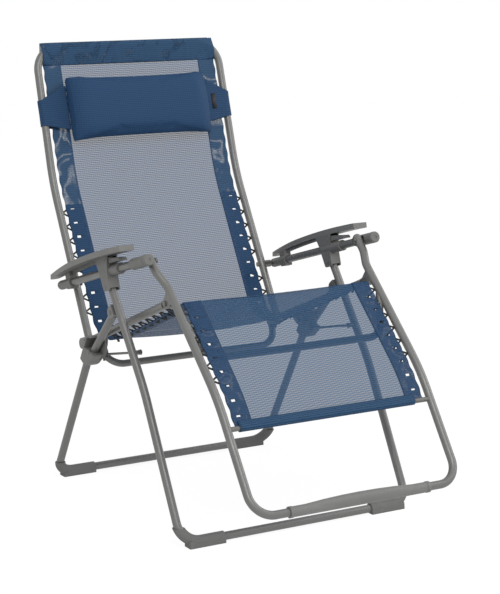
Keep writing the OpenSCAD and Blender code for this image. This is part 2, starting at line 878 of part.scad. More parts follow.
// ---- arms ----
fork_in = tube_r + 1.5;
fork_out = fork_in + 3;
barrel_front = -62;
barrel_back = 22;
ring_at = 213;
ring_w = 26;
ring_block = 20;
pad_x = leg_half + 12;
function pad_n(t) = let (
  q = (pad_back + 7 - t) / (pad_back + 7 + pad_front + 7)
) cubic(22, pad_rise, pad_rise + 4, pad_rise - 2, q);
pad_end = pad_back + 7;
pad_tip = -pad_front - 7;
pad_steps = 28;
function pad_t_at(i) = pad_end + (pad_tip - pad_end) * i / pad_steps;
function pad_half_t(i) = pad_t / 2 * (1 - 0.35 * pow(1 - i / pad_steps, 6));

module pad_profile(drop) {
  polygon(concat(
    [for (i = [0:pad_steps]) arm_at(pad_t_at(i), pad_n(pad_t_at(i)) + pad_half_t(i))],
    [for (i = [pad_steps:-1:0]) arm_at(pad_t_at(i), pad_n(pad_t_at(i)) - pad_half_t(i) - drop)]
  ));
}

// A long curved arm pad with rounded ends in plan and rolled long edges
module arm_pad() {
  y_end = arm_at(pad_end, 0)[0];
  y_tip = arm_at(pad_tip, 0)[0];
  color("gray") intersection() {
    plate(pad_x - pad_w / 2, pad_w) pad_profile(0);
    translate([0, 0, arm_pivot_z - 120]) linear_extrude(400)
      polygon(soft([
        [pad_x - pad_w / 2 + 3, y_tip], [pad_x + pad_w / 2 - 3, y_tip],
        [pad_x + pad_w / 2, y_tip + 90], [pad_x + pad_w / 2, y_end - 120],
        [pad_x + pad_w / 2 - 10, y_end], [pad_x - pad_w / 2 + 10, y_end],
        [pad_x - pad_w / 2, y_end - 120], [pad_x - pad_w / 2, y_tip + 90]
      ], 14));
  }
}

function arm_outline() = [for (q = [
  [48, pad_rise], [-28, pad_rise], [-15, -4], [-16, -pivot_drop - 9],
  [16, -pivot_drop - 9], [32, 8]
]) arm_at(q[0], q[1])];

module arm_bracket() {
  color(frame_grey) difference() {
    union() {
      plate(leg_half - fork_out, 2 * fork_out) polygon(soft(arm_outline(), 6));
      along(at(slide_half, arm_at(barrel_front, 0)), at(slide_half, arm_at(barrel_back, 0)))
        cylinder(d = socket_d, h = barrel_back - barrel_front);
      along(at(slide_half, arm_at(ring_at, 0)), at(slide_half, arm_at(ring_at + ring_w, 0)))
        cylinder(d = socket_d, h = ring_w);
      plate(slide_half - ring_block / 2, ring_block) polygon(soft([for (q = [
        [ring_at, -socket_d / 2 - 2], [ring_at + ring_w, -socket_d / 2 - 2],
        [ring_at + ring_w, pad_rise], [ring_at, pad_rise]
      ]) arm_at(q[0], q[1])], 3));
      plate(slide_half - 2, 4)
        polygon(concat(
          [for (t = [30:10:ring_at + 10]) arm_at(t, pad_n(t))],
          [for (t = [ring_at + 10:-10:30]) arm_at(t, max(pad_n(t) - pad_t / 2 - 8, tube_r + 2))]
        ));
    }
    // open fork for the front leg
    plate(leg_half - fork_in, 2 * fork_in) union() {
      disc_at(arm_pivot, tube_r + 5.6);
      polygon([
        for (q = [[-15.6, -pivot_drop], [15.6, -pivot_drop], [18, -pivot_drop - 30], [-18, -pivot_drop - 30]])
          arm_at(q[0], q[1])
      ]);
    }
    // hollow above the barrel
    plate(leg_half - fork_in, 2 * fork_in)
      polygon(soft([
        for (q = [[46, pad_rise + 1], [-40, pad_rise + 1], [-40, 17], [36, 17]]) arm_at(q[0], q[1])
      ], 3));
    along(at(slide_half, arm_at(-150, 0)), at(slide_half, arm_at(300, 0)))
      cylinder(d = tube_d + 2 * run_fit, h = 450);
    pin(arm_pivot, hole_d, leg_half - 2 * tube_d, leg_half + 2 * tube_d);
    pin(arm_at(lever_t, lever_n), lever_pin_d + 2 * run_fit, leg_half - 2 * tube_d, leg_half + 2 * tube_d);
    plate(pad_x - pad_w, 2 * pad_w) pad_profile(0.1);
    plate(pad_x - pad_w, 2 * pad_w) polygon(concat(
      [for (i = [0:pad_steps]) arm_at(pad_t_at(i), pad_n(pad_t_at(i)))],
      [arm_at(pad_tip, 120), arm_at(pad_end, 120)]
    ));
  }
}

module arm_pins() {
  color("silver") both() pin(arm_pivot, bolt_d, leg_half - fork_out + 0.5, leg_half + fork_out - 0.5);
}

lever_t = -12;
lever_n = 26;
lever_pin_d = 5;

// The lock lever under the pad: a curved finger blade with a hooked tip
module lock_lever() {
  color("dimgray") {
    plate(leg_half - fork_in + 1, 2 * fork_in - 2) polygon(soft([for (q = [
      [-4, 18], [-4, 31], [-30, 30], [-62, 26], [-80, 24],
      [-85, 15.5], [-78, 17], [-58, 17], [-26, 17]
    ]) arm_at(q[0], q[1])], 2));
    pin(arm_at(lever_t, lever_n), lever_pin_d, leg_half - fork_out + 0.5, leg_half + fork_out - 0.5);
  }
}

tube_end = 12;

module slide_tube() {
  color(frame_grey) pipe(at(slide_half, slide_front + slide_dir * tube_end),
    at(slide_half, slide_rear - slide_dir * tube_end), tube_d, tube_wall);
}

front_socket_front = 42;
front_socket_back = 43;
rear_socket_len = 45;
rear_socket_r = 12;
rear_cap_h = 11;

// The front end socket: a sleeve on the tube, a collar groove and a plugged front
module front_socket() {
  r = socket_d / 2;
  color("gray") difference() {
    along(at(slide_half, slide_front - slide_dir * front_socket_front), at(slide_half, slide_front))
      rotate_extrude($fn = 72) polygon([
        [0, 1.2], [4, 1.2], [4, 0], [r - 2, 0], [r, 2], [r + 0.4, 10], [r + 0.4, 12], [r - 0.8, 12],
        [r - 0.8, 14], [r, 14], [r, 83], [r - 2, 85], [0, 85]
      ]);
    along(at(slide_half, slide_front + slide_dir * (tube_end - 0.1)), at(slide_half, slide_rear))
      cylinder(d = tube_d + 0.1, h = front_socket_back);
    pin(slide_front, bolt_d + 2 * open_play, slide_in - 2, slide_in + pocket_deep);
  }
}

// The rear end socket: a sleeve with a round cap, over the pivot on the back
module rear_socket() {
  color("gray") difference() {
    along(at(slide_half, slide_rear - slide_dir * rear_socket_len), at(slide_half, slide_rear))
      rotate_extrude($fn = 72) polygon(concat(
        [[0, 0], [rear_socket_r - 1.5, 0], [rear_socket_r, 1.5]],
        [for (a = [0:15:75]) [rear_socket_r * cos(a), rear_socket_len + rear_cap_h * sin(a)]],
        [[0, rear_socket_len + rear_cap_h]]
      ));
    along(at(slide_half, slide_rear - slide_dir * (rear_socket_len + 1)), at(slide_half, slide_rear))
      cylinder(d = tube_d + 0.1, h = rear_socket_len + 1.1 - tube_end);
    pin(slide_rear, bolt_d + 2 * open_play, slide_in - 2, slide_in + pocket_deep);
  }
}

// ---- head pillow ----
pillow_s = 189;
strap_h = 84;
strap_t = 2;
strap_gap = 0.9;

module on_back(s) {
  d = back_top_dir;
  p = top_at(s, 0);
  multmatrix([
    [1, 0, 0, 0],
    [0, d[1], d[0], p[0]],
    [0, -d[0], d[1], p[1]],
    [0, 0, 0, 1]
  ]) children();
}

module head_pillow() {
  h = pillow_h / 2;
  n0 = mesh_t / 2 + 0.5;
  color("steelblue") plate(-pillow_w / 2, pillow_w)
    polygon(soft([
      top_at(pillow_s - h, n0), top_at(pillow_s - h, n0 + pillow_t),
      top_at(pillow_s + h, n0 + pillow_t), top_at(pillow_s + h, n0)
    ], 24, 8));
}

// A mesh strap from the pillow's end, round the back tube and behind the sling
module pillow_strap() {
  r = tube_r + strap_gap;
  x = back_half + 2;
  color("steelblue") on_back(pillow_s - strap_h / 2) linear_extrude(strap_h) {
    difference() {
      translate([x, 0]) circle(r = r + strap_t);
      translate([x, 0]) circle(r = r);
      translate([x - 2 * r, -r * 2]) square([2 * r, r * 4]);
    }
    translate([pillow_w / 2 + 0.2, -r - strap_t]) square([x - pillow_w / 2 - 0.2, strap_t]);
    translate([x - 42, r]) square([42, strap_t]);
  }
}

front_leg_frame();
hand(1) front_foot();  // front_foot_l
hand(-1) front_foot();  // front_foot_r
fold_bolts();
rod_caps();
rear_leg_frame();
hand(1) hip_bracket();  // hip_bracket_l
hand(-1) hip_bracket();  // hip_bracket_r
hand(1) strut();  // strut_l
hand(-1) strut();  // strut_r
strut_pins();
hand(1) rear_foot();  // rear_foot_l
hand(-1) rear_foot();  // rear_foot_r
hip_bolts();
hand(1) seat_rail();  // seat_rail_l
hand(-1) seat_rail();  // seat_rail_r
seat_cross_bar();
seat_sling();
seat_laces();
back_bolts();
back_frame();
back_end_plugs();
back_sling();
back_laces();
slide_rear_bolts();
knee_bolts();
leg_rest_frame();
knee_cross_bar();
hem_cross_bar();
foot_grip();
leg_end_plugs();
leg_sling();
leg_laces();
slide_front_bolts();
arm_pins();
hand(1) arm_bracket();  // arm_bracket_l
hand(-1) arm_bracket();  // arm_bracket_r
hand(1) arm_pad();  // arm_pad_l
hand(-1) arm_pad();  // arm_pad_r
hand(1) slide_tube();  // slide_tube_l
hand(-1) slide_tube();  // slide_tube_r
hand(1) front_socket();  // front_socket_l
hand(-1) front_socket();  // front_socket_r
hand(1) rear_socket();  // rear_socket_l
hand(-1) rear_socket();  // rear_socket_r
hand(1) limiter_rod();  // limiter_rod_l
hand(-1) limiter_rod();  // limiter_rod_r
hand(1) lock_lever();  // lock_lever_l
hand(-1) lock_lever();  // lock_lever_r
head_pillow();
hand(1) pillow_strap();  // pillow_strap_l
hand(-1) pillow_strap();  // pillow_strap_r
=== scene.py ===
import json
import math

import bpy
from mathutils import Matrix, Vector

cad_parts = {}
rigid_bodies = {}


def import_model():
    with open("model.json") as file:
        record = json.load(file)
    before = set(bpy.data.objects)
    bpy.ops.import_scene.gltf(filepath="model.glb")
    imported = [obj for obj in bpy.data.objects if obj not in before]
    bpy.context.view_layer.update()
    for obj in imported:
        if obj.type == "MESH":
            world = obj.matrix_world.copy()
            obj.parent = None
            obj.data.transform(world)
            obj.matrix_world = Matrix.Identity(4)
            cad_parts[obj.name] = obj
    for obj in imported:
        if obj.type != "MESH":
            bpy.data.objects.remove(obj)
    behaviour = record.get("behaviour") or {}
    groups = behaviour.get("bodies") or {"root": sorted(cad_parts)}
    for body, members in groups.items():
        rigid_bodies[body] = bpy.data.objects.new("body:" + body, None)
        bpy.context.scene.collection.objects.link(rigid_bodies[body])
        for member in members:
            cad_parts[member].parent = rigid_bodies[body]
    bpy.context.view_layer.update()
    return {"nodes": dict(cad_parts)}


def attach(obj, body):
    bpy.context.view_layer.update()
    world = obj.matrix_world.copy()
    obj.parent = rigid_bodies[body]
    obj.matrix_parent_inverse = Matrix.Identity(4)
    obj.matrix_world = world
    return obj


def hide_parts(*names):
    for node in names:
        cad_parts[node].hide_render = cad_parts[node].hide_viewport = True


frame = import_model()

node = frame["nodes"]


# ---- Powder-coated steel frame ----
# 20 mm steel tube, bent and welded into legs, rails, back and leg rest, with 18 mm
# cross bars. The paint is baked-on polyester powder, satin grey with a fine orange peel.
def linear(hex_colour):
    """An sRGB hex colour as the linear colour that a shader takes."""
    channels = [int(hex_colour[i:i + 2], 16) / 255 for i in (1, 3, 5)]
    return tuple(c / 12.92 if c <= 0.04045 else ((c + 0.055) / 1.055) ** 2.4 for c in channels) + (1.0,)


def add(tree, kind, inputs=None, **settings):
    """Adds a node to a tree; an input is a plain value or another node's output."""
    made = tree.nodes.new(kind)
    for key, value in settings.items():
        setattr(made, key, value)
    for key, value in (inputs or {}).items():
        if isinstance(value, bpy.types.NodeSocket):
            tree.links.new(value, made.inputs[key])
        else:
            made.inputs[key].default_value = value
    return made


def start_finish(name):
    """A new empty material and its tree."""
    finish = bpy.data.materials.new(name)
    finish.use_nodes = True
    finish.node_tree.nodes.clear()
    return finish, finish.node_tree


def rigid_finish(name, dark, light, grain_mm, depth_mm, rough, metallic=0.0, pebbled=False):
    """Paint, plastic or rubber: two close tones, a skin of fine grain, and worn patches that shine more."""
    finish, tree = start_finish(name)
    place = add(tree, "ShaderNodeTexCoord").outputs["Object"]
    cloud = add(tree, "ShaderNodeTexNoise",
                {"Vector": place, "Scale": 9.0, "Detail": 4.0, "Roughness": 0.6})
    tone = add(tree, "ShaderNodeMix", {"Factor": cloud.outputs["Fac"], 6: linear(dark), 7: linear(light)},
               data_type="RGBA")
    if pebbled:
        grain = add(tree, "ShaderNodeTexVoronoi",
                    {"Vector": place, "Scale": 1000 / grain_mm}).outputs["Distance"]
    else:
        grain = add(tree, "ShaderNodeTexNoise",
                    {"Vector": place, "Scale": 1000 / grain_mm, "Detail": 2.0}).outputs["Fac"]
    bump = add(tree, "ShaderNodeBump", {"Height": grain, "Strength": 0.6, "Distance": depth_mm / 1000})
    rubbed = add(tree, "ShaderNodeTexNoise",
                 {"Vector": place, "Scale": 34.0, "Detail": 5.0, "Roughness": 0.7})
    shine = add(tree, "ShaderNodeMapRange",
                {0: rubbed.outputs["Fac"], 1: 0.35, 2: 0.7, 3: rough[0], 4: rough[1]})
    skin = add(tree, "ShaderNodeBsdfPrincipled", {
        "Base Color": tone.outputs[2], "Roughness": shine.outputs[0], "Metallic": metallic,
        "Normal": bump.outputs[0]})
    add(tree, "ShaderNodeOutputMaterial", {"Surface": skin.outputs[0]})
    return finish


def dress(finish, *names):
    """Gives CAD nodes their finish."""
    for name in names:
        for i in range(max(1, len(node[name].data.materials))):
            if node[name].data.materials:
                node[name].data.materials[i] = finish
            else:
                node[name].data.materials.append(finish)
        for face in node[name].data.polygons:
            face.material_index = 0


# orange peel is 1 to 2 mm across and a hundredth deep, drawn at 2.4 mm so that it shows
powder_coat = rigid_finish("powder_coated_steel", "#686867", "#747473", 2.4, 0.05, (0.34, 0.46),
                           metallic=0.35)
dress(powder_coat, "front_leg_frame", "rear_leg_frame", "strut_l", "strut_r", "seat_rail_l", "seat_rail_r",
      "seat_cross_bar", "back_frame", "leg_rest_frame", "knee_cross_bar", "hem_cross_bar",
      "slide_tube_l", "slide_tube_r")

# ---- Moulded joints, arm pads and foot grip ----
# Glass-filled nylon, moulded in a spark-eroded tool: matt, slightly warmer than the
# paint, with a pebble grain that hides scuffs. The pads are the same, a shade lighter.
moulded_nylon = rigid_finish("glass_filled_nylon", "#636362", "#6f6f6d", 1.6, 0.06, (0.5, 0.62),
                             pebbled=True)
pad_nylon = rigid_finish("arm_pad_nylon", "#6b6b6a", "#787876", 1.8, 0.07, (0.46, 0.6), pebbled=True)
dress(moulded_nylon, "hip_bracket_l", "hip_bracket_r", "arm_bracket_l", "arm_bracket_r", "front_socket_l",
      "front_socket_r", "rear_socket_l", "rear_socket_r", "lock_lever_l", "lock_lever_r",
      "back_end_plugs", "leg_end_plugs")
dress(pad_nylon, "arm_pad_l", "arm_pad_r", "foot_grip")

# ---- Floor shoes ----
# Four moulded rubber shoes, pushed over the outer ends of the floor bars. Rubber
# scatters the light, with a dusty bloom and no sharp highlight.
shoe_rubber = rigid_finish("moulded_rubber", "#646463", "#717170", 2.0, 0.08, (0.68, 0.85), pebbled=True)
dress(shoe_rubber, "front_foot_l", "front_foot_r", "rear_foot_l", "rear_foot_r")

# ---- Rivets, bolts and limiter rods ----
# Steel rivets and shoulder bolts with domed heads, zinc plated and then painted, and
# bare drawn rods, a little darker. Their drawn skin gives a tighter highlight.
painted_rivet = rigid_finish("plated_rivet_steel", "#5f5f5d", "#70706d", 1.2, 0.02, (0.28, 0.4),
                             metallic=0.6)
drawn_rod = rigid_finish("drawn_rod_steel", "#555553", "#666663", 1.5, 0.02, (0.3, 0.42), metallic=0.55)
dress(painted_rivet, "fold_bolts", "rod_caps", "strut_pins", "hip_bolts", "back_bolts", "slide_rear_bolts",
      "knee_bolts", "slide_front_bolts", "arm_pins")
dress(drawn_rod, "limiter_rod_l", "limiter_rod_r")


# ---- Sling cloth: the open mesh ----
# PVC-coated polyester yarn, plain woven with open cells and heat set. Navy yarn covers
# about three quarters of it, so a pale room shows through and thins it to a grey blue. The
# leg rest gets more cover, as painted shade for the shadowed floor seen through it. The hem is two layers.
def mesh_finish(name, dark, light, cover, weft_mm=5.3, rib=0.09, swirl=0.0, swirl_scale=11.0, rings=7.0):
    """Coated mesh: yarn lines across and along, holes between them, and a moire where two layers lie together.
    The yarn is 1.2 mm apart; it is drawn coarser here, because it would be too fine to show."""
    finish, tree = start_finish(name)
    cloth_uv = add(tree, "ShaderNodeUVMap", uv_map="cloth").outputs[0]
    split = add(tree, "ShaderNodeSeparateXYZ", {0: cloth_uv})
    across, along = split.outputs[0], split.outputs[1]
    turns = 2 * math.pi * 1000
    weft = add(tree, "ShaderNodeMath",
               {0: add(tree, "ShaderNodeMath", {0: along, 1: turns / weft_mm},
                       operation="MULTIPLY").outputs[0]},
               operation="SINE").outputs[0]
    warp = add(tree, "ShaderNodeMath",
               {0: add(tree, "ShaderNodeMath", {0: across, 1: turns / 6.1},
                       operation="MULTIPLY").outputs[0]},
               operation="SINE").outputs[0]
    skew = add(tree, "ShaderNodeMath", {0: across, 1: 0.32, 2: along}, operation="MULTIPLY_ADD").outputs[0]
    twill = add(tree, "ShaderNodeMath",
                {0: add(tree, "ShaderNodeMath", {0: skew, 1: turns / 7.4},
                        operation="MULTIPLY").outputs[0]},
                operation="SINE").outputs[0]
    yarns = add(tree, "ShaderNodeMath", {0: weft, 1: rib, 2: cover}, operation="MULTIPLY_ADD").outputs[0]
    yarns = add(tree, "ShaderNodeMath", {0: warp, 1: rib * 0.35, 2: yarns},
                operation="MULTIPLY_ADD").outputs[0]
    yarns = add(tree, "ShaderNodeMath", {0: twill, 1: rib * 0.4, 2: yarns},
                operation="MULTIPLY_ADD").outputs[0]
    if swirl:
        blot = add(tree, "ShaderNodeTexNoise",
                   {"Vector": cloth_uv, "Scale": swirl_scale, "Detail": 1.5, "Distortion": 0.8})
        wave = add(tree, "ShaderNodeMath", {0: blot.outputs["Fac"], 1: 2 * math.pi * rings},
                   operation="MULTIPLY").outputs[0]
        wave = add(tree, "ShaderNodeMath", {0: wave}, operation="SINE").outputs[0]
        speck = add(tree, "ShaderNodeTexNoise",
                    {"Vector": cloth_uv, "Scale": 190.0, "Detail": 1.0}).outputs["Fac"]
        line = add(tree, "ShaderNodeMapRange", {0: wave, 1: 0.1, 2: 1.0, 3: 0.0, 4: swirl}).outputs[0]
        line = add(tree, "ShaderNodeMath", {0: line, 1: speck}, operation="MULTIPLY").outputs[0]
        yarns = add(tree, "ShaderNodeMath", {0: yarns, 1: line}, operation="SUBTRACT",
                    use_clamp=True).outputs[0]
    # the weft crests are drawn a lighter tone than the hollows: a painted highlight on the raised yarn
    painted_crest_light = add(tree, "ShaderNodeMapRange", {0: weft, 1: -1.0, 2: 1.0, 3: 0.0, 4: 1.0}).outputs[0]
    tone = add(tree, "ShaderNodeMix", {"Factor": painted_crest_light, 6: linear(dark), 7: linear(light)}, data_type="RGBA")
    bump = add(tree, "ShaderNodeBump", {"Height": weft, "Strength": 0.35, "Distance": 0.0004})
    yarn = add(tree, "ShaderNodeBsdfPrincipled",
               {"Base Color": tone.outputs[2], "Roughness": 0.6, "Specular IOR Level": 0.16,
                                                  "Normal": bump.outputs[0]})
    hole = add(tree, "ShaderNodeBsdfTransparent")
    cell = add(tree, "ShaderNodeMixShader", {0: yarns, 1: hole.outputs[0], 2: yarn.outputs[0]})
    add(tree, "ShaderNodeOutputMaterial", {"Surface": cell.outputs[0]})
    return finish


single_mesh = mesh_finish("single_coated_mesh", "#24405f", "#304d70", 0.765)
# more cover on the leg rest is painted shade: it darkens the leg rest as the shadowed floor under it would
leg_mesh_painted_shade = mesh_finish("leg_rest_coated_mesh", "#26435f", "#335273", 0.815)
hem_mesh = mesh_finish("hem_doubled_mesh", "#26435f", "#335273", 0.87, rib=0.06)
doubled_mesh = mesh_finish("doubled_coated_mesh", "#26435f", "#335273", 0.92, rib=0.05, swirl=0.62,
                           rings=4.0)
laced_mesh = mesh_finish("laced_doubled_mesh", "#223e5d", "#2c4868", 0.93, rib=0.05, swirl=0.3,
                         swirl_scale=26.0, rings=3.0)
lined_band = mesh_finish("lined_navy_band", "#1f3b5b", "#294767", 0.985, rib=0.012)

# The sling is one cloth that bends over the hip and the knee, hung between the rails. Its
# side view is a line of [y, z] places in metres, set from the frame's hinges.
hip_hinge = Vector((0.2540, 0.3860))
knee_hinge = Vector((-0.1740, 0.5589))


def heading(degrees):
    return Vector((math.cos(math.radians(degrees)), math.sin(math.radians(degrees))))


def beside(direction):
    return Vector((-direction.y, direction.x))


seat_heading = heading(158)
back_heading = heading(60.8)
top_heading = heading(73.5)
shin_heading = heading(43.3)
foot_heading = heading(55.4)
shoulder = hip_hinge + back_heading * 0.4365
headrail = shoulder + top_heading * 0.360
shin_start = knee_hinge + beside(shin_heading) * 0.024
ankle = shin_start - shin_heading * 0.292


def arc(a, control, b, count):
    """Places on a bend from a to b, pulled towards control."""
    return [a * (1 - q) ** 2 + control * 2 * q * (1 - q) + b * q * q for q in (i / count for i in range(count + 1))]


def walk(places, step):
    """Even steps along a side-view line: each is (place, direction, distance gone)."""
    lengths = [(b - a).length for a, b in zip(places, places[1:])]
    total, steps, gone, k = sum(lengths), [], 0.0, 0
    count = max(2, round(total / step))
    for i in range(count + 1):
        goal = min(total * i / count, total)
        while k < len(lengths) - 1 and gone + lengths[k] < goal:
            gone += lengths[k]
            k += 1
        q = min(1.0, (goal - gone) / lengths[k])
        steps.append((places[k].lerp(places[k + 1], q), (places[k + 1] - places[k]).normalized(), goal))
    smooth = []
    for i, (place, direction, goal) in enumerate(steps):
        before, after = steps[max(0, i - 1)][0], steps[min(count, i + 1)][0]
        smooth.append((place, (after - before).normalized(), goal))
    return smooth


def evenly(a, b, count):
    return [a + (b - a) * i / count for i in range(count + 1)]


def length_of(places):
    return sum((b - a).length for a, b in zip(places, places[1:]))


def finish_piece(name, verts, faces, uvs, material, body):
    """A mesh piece with its cloth UVs in metres, riding on its body."""
    mesh = bpy.data.meshes.new(name)
    mesh.from_pydata([tuple(v) for v in verts], [], faces)
    layer = mesh.uv_layers.new(name="cloth")
    for face in mesh.polygons:
        face.use_smooth = True
        for corner in face.loop_indices:
            layer.data[corner].uv = uvs[mesh.loops[corner].vertex_index]
    mesh.materials.append(material)
    piece = bpy.data.objects.new(name, mesh)
    bpy.context.scene.collection.objects.link(piece)
    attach(piece, body)
    return piece


def cloth(name, places, columns, material, body, step=0.006, shape=None, holes=None, off=0.0):
    """Cloth along a side-view line. columns are its x places; shape(x, s) moves a point in x and off the
    sheet; holes(x, s) says which faces are cut out."""
    rows = walk(places, step)
    verts, uvs, faces = [], [], []
    for place, direction, s in rows:
        for x in columns:
            shift, lift = shape(x, s) if shape else (0.0, 0.0)
            at = place + beside(direction) * (lift + off)
            verts.append(Vector((x + shift, at.x, at.y)))
            uvs.append((x, s))
    wide = len(columns)
    for i in range(len(rows) - 1):
        for j in range(wide - 1):
            if holes and holes((columns[j] + columns[j + 1]) / 2, (rows[i][2] + rows[i + 1][2]) / 2):
                continue
            a = i * wide + j
            faces.append((a, a + 1, a + wide + 1, a + wide))
    return finish_piece(name, verts, faces, uvs, material, body)


seat_under = beside(seat_heading)
hip_turn = arc(hip_hinge + seat_heading * 0.070 + seat_under * 0.010, hip_hinge + Vector((-0.002, -0.002)),
               hip_hinge + back_heading * 0.060, 16)
hip_middle = 8
lower_back = hip_turn[hip_middle:] + [hip_hinge + back_heading * 0.3]
lower_back += arc(shoulder - back_heading * 0.056, shoulder, shoulder + top_heading * 0.056, 10)
back_line = lower_back + [headrail - top_heading * 0.047]
# the seat cloth lies a little under its rails, deepest in the middle of the seat
seat_sag = [knee_hinge + (hip_hinge - knee_hinge) * q + seat_under * (0.010 + 0.008 * 4 * q * (1 - q)) for q in evenly(0.0, 0.84, 14)]
knee_fold = shin_start - shin_heading * 0.019
seat_line = [knee_fold] + seat_sag + hip_turn[1:hip_middle + 1]
shin_line = [knee_fold, shin_start - shin_heading * 0.12]
shin_line += arc(ankle + shin_heading * 0.056, ankle, ankle - foot_heading * 0.046, 10)
shin_line += [ankle - foot_heading * 0.068]

back_edge, back_inner = 0.258, 0.207
rail_edge, rail_inner = 0.261, 0.212
back_length, seat_length, shin_length = (length_of(p) for p in (back_line, seat_line, shin_line))


def middle_dish(half, start_depth, end_depth):
    """The cloth gives a little between its laced edges, most at the hips."""
    def shape(x, s):
        depth = end_depth + (start_depth - end_depth) * max(0.0, 1 - s / 0.2)
        return 0.0, -depth * max(0.0, 1 - (x / half) ** 2)
    return shape


def seat_dish(x, s):
    return 0.0, -(0.004 + 0.006 * (s / seat_length) ** 2) * max(0.0, 1 - (x / rail_inner) ** 2)


back_field = cloth("back_mesh", back_line, evenly(-back_inner - 0.004, back_inner + 0.004, 24),
                   single_mesh, "back",
                   shape=middle_dish(0.207, 0.010, 0.004))
seat_field = cloth("seat_mesh", seat_line, evenly(-rail_inner - 0.004, rail_inner + 0.004, 24),
                   single_mesh, "seat",
                   shape=seat_dish)
shin_field = cloth("leg_rest_mesh", shin_line, evenly(-rail_inner - 0.004, rail_inner + 0.004, 24),
                   leg_mesh_painted_shade, "leg_rest",
                   shape=middle_dish(0.212, -0.004, -0.003))

# ---- Side bands of the sling ----
# The mesh is turned in 50 mm along both edges and sewn down with two rows. Where it is
# laced, a navy tape lines it, with a slot at each lace; above the lacing only the two
# mesh layers lie together, and their threads beat into rings.
lace_pitch = 0.039
back_laced = 0.370
slot_in = 0.019


def band_columns(edge, inner):
    slot_at = edge - slot_in
    return [edge, edge - 0.004, slot_at + 0.0055, slot_at + 0.002, slot_at - 0.002, slot_at - 0.0055,
            inner + 0.008, inner + 0.004, inner]


def pulled_edge(edge, inner, start, side):
    """The laces pull the edge out at each slot, and pinch the band there."""
    def shape(x, s):
        reach = (abs(x) - inner) / (edge - inner)
        pull = 0.5 - 0.5 * math.cos(2 * math.pi * (s - start) / lace_pitch)
        return -side * 0.0022 * pull * reach ** 3, 0.0009 * math.sin(2 * math.pi * (s - start) / lace_pitch) * reach
    return shape


def lace_slots(edge, start, end):
    """A 9 by 3 mm slot at each lace."""
    def cut(x, s):
        beside_lace = (s - start + lace_pitch / 2) % lace_pitch - lace_pitch / 2
        return start - 0.01 < s < end and abs(beside_lace) < 0.0026 and abs(abs(x) - (edge - slot_in)) < 0.0045
    return cut


def split_line(places, at):
    """A side-view line up to a distance, and the rest of it."""
    rows = walk(places, 0.004)
    first = [place for place, _, s in rows if s <= at]
    return first, [first[-1]] + [place for place, _, s in rows if s > at]


def side_band(name, places, edge, inner, side, material, body, start, end):
    band = cloth(name, places, [side * x for x in band_columns(edge, inner)][::-side], material, body,
                 step=0.0021,
                 shape=pulled_edge(edge, inner, start, side), holes=lace_slots(edge, start, end))
    wall = band.modifiers.new("tape_thickness", "SOLIDIFY")
    wall.thickness = 0.0021
    wall.offset = 0.0
    return band


laced_back, plain_back = split_line(back_line, back_laced)
back_bands, seat_bands, shin_bands = [], [], []
for side, hand in ((1, "l"), (-1, "r")):
    back_bands.append(side_band("back_band_" + hand, laced_back, back_edge, back_inner, side, lined_band,
                                "back",
                                0.045, back_laced - 0.012))
    back_bands.append(side_band("back_upper_band_" + hand, plain_back, back_edge, back_inner, side,
                                doubled_mesh, "back",
                                9.0, 9.0))
    seat_bands.append(side_band("seat_band_" + hand, seat_line, rail_edge, rail_inner, side, lined_band,
                                "seat",
                                0.060, seat_length - 0.06))
    shin_bands.append(side_band("leg_rest_band_" + hand, shin_line, rail_edge, rail_inner, side,
                                laced_mesh, "leg_rest",
                                0.045, shin_length - 0.02))


# ---- Sewn rows ----
# Two rows of lockstitch in bonded polyester thread hold each band, 3 mm stitches with a
# short gap, sunk a little into the cloth.
def build_stitch_tree():
    """Stitches along a curve, from named sizes."""
    tree = bpy.data.node_groups.new("lockstitch_row", "GeometryNodeTree")
    face = tree.interface
    face.new_socket("Seam", in_out="INPUT", socket_type="NodeSocketGeometry")
    for label, size in (("Stitch Pitch", 0.0042), ("Stitch Length", 0.0031), ("Thread Radius", 0.00045)):
        socket = face.new_socket(label, in_out="INPUT", socket_type="NodeSocketFloat")
        socket.default_value = size
    face.new_socket("Thread", in_out="INPUT", socket_type="NodeSocketMaterial")
    face.new_socket("Stitches", in_out="OUTPUT", socket_type="NodeSocketGeometry")
    given = add(tree, "NodeGroupInput").outputs
    marks = add(tree, "GeometryNodeCurveToPoints",
                {"Curve": given["Seam"], "Length": given["Stitch Pitch"]}, mode="LENGTH")
    thread = add(tree, "GeometryNodeMeshCylinder",
                 {"Vertices": 6, "Radius": given["Thread Radius"], "Depth": given["Stitch Length"]},
                 fill_type="TRIANGLE_FAN")
    laid = add(tree, "GeometryNodeInstanceOnPoints",
               {"Points": marks.outputs["Points"], "Instance": thread.outputs["Mesh"],
                                                      "Rotation": marks.outputs["Rotation"]})
    solid = add(tree, "GeometryNodeRealizeInstances", {0: laid.outputs[0]})
    painted = add(tree, "GeometryNodeSetMaterial",
                  {"Geometry": solid.outputs[0], "Material": given["Thread"]})
    add(tree, "NodeGroupOutput", {0: painted.outputs[0]})
    return tree


sewing_thread = rigid_finish("bonded_polyester_thread", "#33507a", "#456491", 0.8, 0.05, (0.5, 0.6))
stitch_tree = build_stitch_tree()


